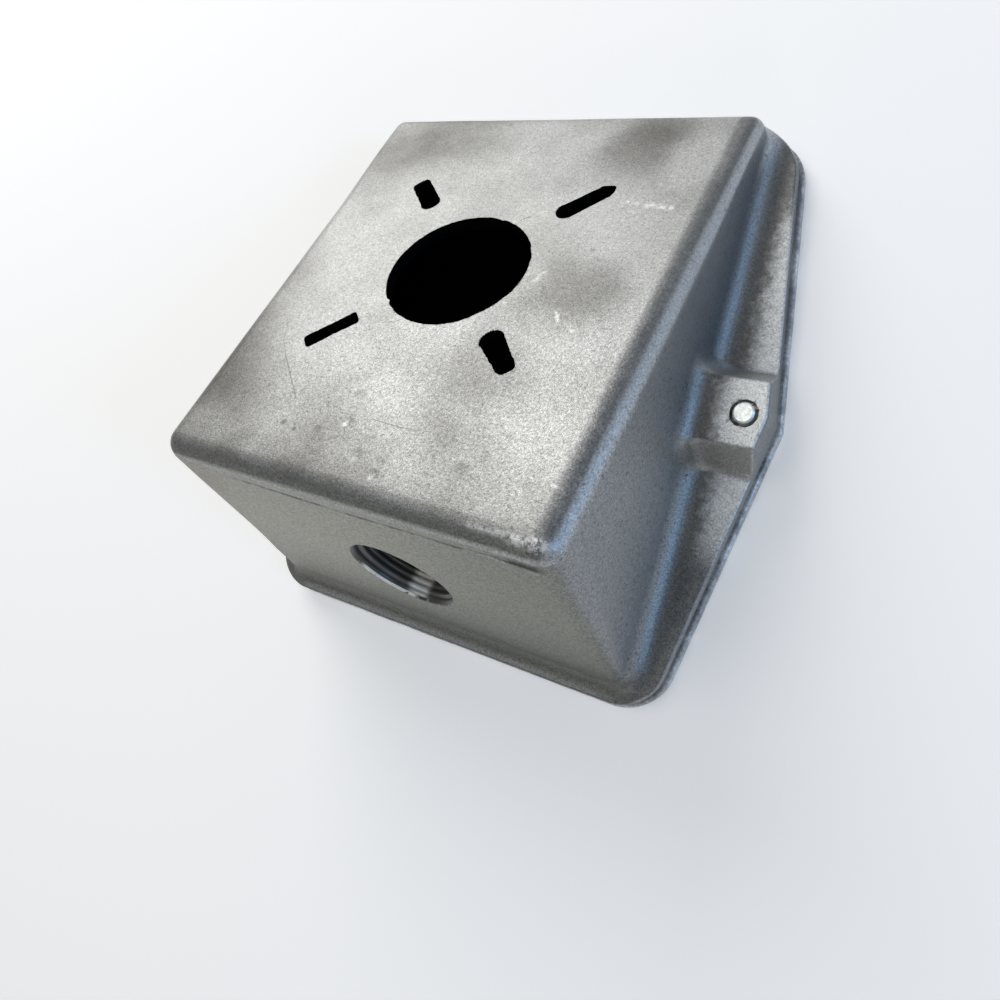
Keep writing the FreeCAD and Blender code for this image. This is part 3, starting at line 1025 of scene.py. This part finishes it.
def slotShift(slot, u, v, gap):
    # How the rim of a slot moves to its worn shape, in mm
    centre, outward, sideways = slotFrame(slot)
    outer = int(u > 0)
    end = 1 if outer else -1
    share = clamped(u / slotPlan["halfLength"] / 2 + 0.5)
    past = max(0.0, abs(u) - slotPlan["halfLength"] + slotPlan["halfWidth"])
    corner = squarer(past, v, slot["square"][outer])
    wide = slot["wide"][0] * (1 - share) + slot["wide"][1] * share + corner
    longer = slot["grow"][outer] * min(1.0, abs(u) / slotPlan["growRun"]) + corner * past
    rate = slotPlan["roughRate"]
    rough = noise.noise(Vector((u * rate, v * rate, slot["turn"]))) * slotPlan["rough"]
    moved = outward * end * longer + sideways * (v * (wide - 1) + rough)
    moved += across * slot["shift"][0] + downFace * slot["shift"][1]
    return moved * fade(max(0.0, gap), slotPlan["reach"])


def openingShift(point):
    x, along, lift = faceSpot(point)
    if openings["below"] <= lift <= openings["above"]:
        gap = holeGap(point)
        if abs(gap) < hole["reach"]:
            return holeShift(x, along, gap) * mm
        for slot in slots:
            u, v, gap = slotGap(point, slot)
            if gap < slotPlan["reach"]:
                return slotShift(slot, u, v, gap) * mm
    return Vector((0, 0, 0))


# Where the walls of the face's openings, the cavity and the entry lie, in mm, and how they face
insides = {
    "openingLift": (-4.5, 0.3),
    "openingAlong": (12, 105),
    "openingAcross": 45,
    "openingFacing": 0.6,
    "skin": 2.6,
    "wellInside": 9,
    "wellInsideSkin": 0.25,
    "hubEnd": 0.1,
    "mouthDepth": 0.2,
}


def isInside(point):
    # Whether a point lies in the cavity, well below the outer skin
    x, along, lift = faceSpot(point)
    edgeGap = min(along, *wallGaps(point))
    underSkin = edgeGap > insides["skin"] and -lift > insides["skin"]
    return underSkin or edgeGap > insides["wellInside"] and -lift > insides["wellInsideSkin"]


def isOpeningWall(skin):
    x, along, lift = faceSpot(skin.calc_center_median())
    low, high = insides["openingLift"]
    near, far = insides["openingAlong"]
    inPlace = low < lift < high and near < along < far and abs(x) < insides["openingAcross"]
    return inPlace and skin.normal.dot(outOfFace) < insides["openingFacing"]


def partOfShell(skin):
    # Which material a face wears: 0 the cast skin, 1 the inside, painted near black as shade, 2 the cut
    # thread
    point = skin.calc_center_median()
    depth, radius = entrySpot(point)
    # The walls of the face's openings are painted near black as shade
    if isOpeningWall(skin):
        return 1
    if depth < entry["hub"] + insides["hubEnd"] and radius < entry["bore"] + entry["lip"]:
        return 2 if depth > insides["mouthDepth"] else 0
    return int(isInside(point))


def refineHousing(mesh):
    for direction in (across, downFace, outOfFace):
        cutAlong(mesh, direction, shell["gridStep"])
    step = rounding["step"]
    for side in (-1, 1):
        refine(mesh, lambda point: point.x * side > 0 and isNearEdge(point, 0, 1), (across, outOfFace), step)
        refine(mesh, lambda point: point.x * side > 0 and isNearEdge(point, 0, 2), (across, downFace), step)
    refine(mesh, lambda point: isNearEdge(point, 1, 2), (downFace, outOfFace), step)
    for vertex in mesh.verts:
        vertex.co += roundingShift(vertex.co)
    for x, along, radius, depth in shell["dents"]:
        reach = (radius + shell["dentMargin"]) * mm
        dent = onFace(x, along)
        refine(mesh, lambda point: (point - dent).length < reach, (across, downFace), shell["dentStep"])

    def isAtHole(point):
        return abs(holeGap(point)) < hole["cutReach"] and faceSpot(point)[2] > openings["below"]

    refine(mesh, isAtHole, (across, downFace), openings["step"])
    for slot in slots:
        atSlot = slotFrame(slot)[1:]
        refine(mesh, lambda point: slotGap(point, slot)[2] < slotPlan["reach"], atSlot, openings["step"])
    refine(mesh, lambda point: abs(seamGap(point)) < seam["margin"], (outOfFace,), seam["step"])


def makeHousing(materials):
    mesh = mergedCopy("housing")
    refineHousing(mesh)
    print("housing grid", len(mesh.faces))
    mesh.normal_update()
    for vertex in mesh.verts:
        wave = shell["wave"] * noise.noise(vertex.co / (shell["waveLength"] * mm))
        ripple = shell["ripple"] * noise.noise(vertex.co / (shell["rippleLength"] * mm))
        inward = dentDepth(vertex.co) + seamDepth(vertex.co)
        vertex.co += vertex.normal * (wave + ripple - inward) * mm
        vertex.co += openingShift(vertex.co)
    mesh.normal_update()
    for skin in mesh.faces:
        skin.material_index = partOfShell(skin)
    housing = finish(mesh, "housingCasting", materials, shell["flatAngle"])
    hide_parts("housing")
    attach(housing, "root")


# Cover: its rim is slightly uneven, and what lies under the cavity, inside x, near and far, is painted near
# black as shade
cover = {
    "gridStep": 3.0,
    "top": 3.15,
    "underCavity": (54.0, -52.0, 70.0),
    "wave": 0.05,
    "waveLength": 4.0,
    "rimFacing": 0.95,
    "flatAngle": math.radians(35),
}


def makeCover(materials):
    mesh = mergedCopy("cover_plate")
    for direction in (across, Vector((0, 1, 0))):
        cutAlong(mesh, direction, cover["gridStep"])
    mesh.normal_update()
    for vertex in mesh.verts:
        if abs(vertex.normal.z) < cover["rimFacing"]:
            uneven = noise.noise(vertex.co / (cover["waveLength"] * mm)) - 1
            vertex.co += Vector((vertex.normal.x, vertex.normal.y, 0)) * uneven * cover["wave"] * mm
    wide, near, far = cover["underCavity"]
    for skin in mesh.faces:
        x, y, z = skin.calc_center_median() / mm
        skin.material_index = int(z > cover["top"] and abs(x) < wide and near < y < far)
    plate = finish(mesh, "coverCasting", materials, cover["flatAngle"])
    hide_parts("cover_plate")
    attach(plate, "root")


# Conduit thread, cut into the bore of the near wall
thread = {
    "root": 13.35,
    "crest": 12.5,
    "pitch": 1.814,
    "crestFlat": 0.4,
    "start": 0.7,
    "length": 14.2,
    "stepsPerTurn": 64,
    "flatAngle": math.radians(30),
}


def makeThread(material):
    # One ridge's section, spun about the entry's axis while it moves inwards
    start, half = thread["start"], thread["pitch"] / 2
    corners = [
        (thread["root"], start),
        (thread["crest"], start + half - thread["crestFlat"] / 2),
        (thread["crest"], start + half + thread["crestFlat"] / 2),
        (thread["root"], start + thread["pitch"]),
    ]
    mesh = bmesh.new()
    places = [entry["mouth"] + (outOfFace * radius + downFace * depth) * mm for radius, depth in corners]
    section = mesh.faces.new([mesh.verts.new(place) for place in places])
    turns = (thread["length"] - thread["pitch"]) / thread["pitch"]
    steps = int(turns * thread["stepsPerTurn"])
    bmesh.ops.spin(
        mesh,
        geom=[section] + section.edges[:] + section.verts[:],
        cent=entry["mouth"],
        axis=downFace,
        dvec=downFace * (thread["pitch"] * mm / thread["stepsPerTurn"]),
        angle=2 * math.pi * steps / thread["stepsPerTurn"],
        steps=steps,
        use_duplicate=False,
    )
    bmesh.ops.recalc_face_normals(mesh, faces=mesh.faces[:])
    piece = finish(mesh, "entryThread", [material], thread["flatAngle"])
    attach(piece, "root")


nodeFlatAngle = math.radians(35)


def dressNode(nodeName, material):
    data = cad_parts[nodeName].data
    data.materials.clear()
    data.materials.append(material)
    data.shade_smooth()
    data.set_sharp_from_angle(angle=nodeFlatAngle)


clearScene()
makeCamera()
makeLamps()
makeWorld()
makeFloor()
print("studio ready")
bareMetal = cutThread()
paintedShadeInside = plainFinish("shadedInside")
makeHousing([castAluminium(), paintedShadeInside, bareMetal])
makeThread(bareMetal)
print("casting ready")
makeCover([plainFinish("coverAluminium"), paintedShadeInside])
dressNode("cover_gasket", plainFinish("blackRubber"))
zinc = plainFinish("zincPlate")
dressNode("cover_screw_right", zinc)
dressNode("cover_screw_left", zinc)
bpy.context.scene.view_settings.view_transform = "Standard"
print("pieces dressed")
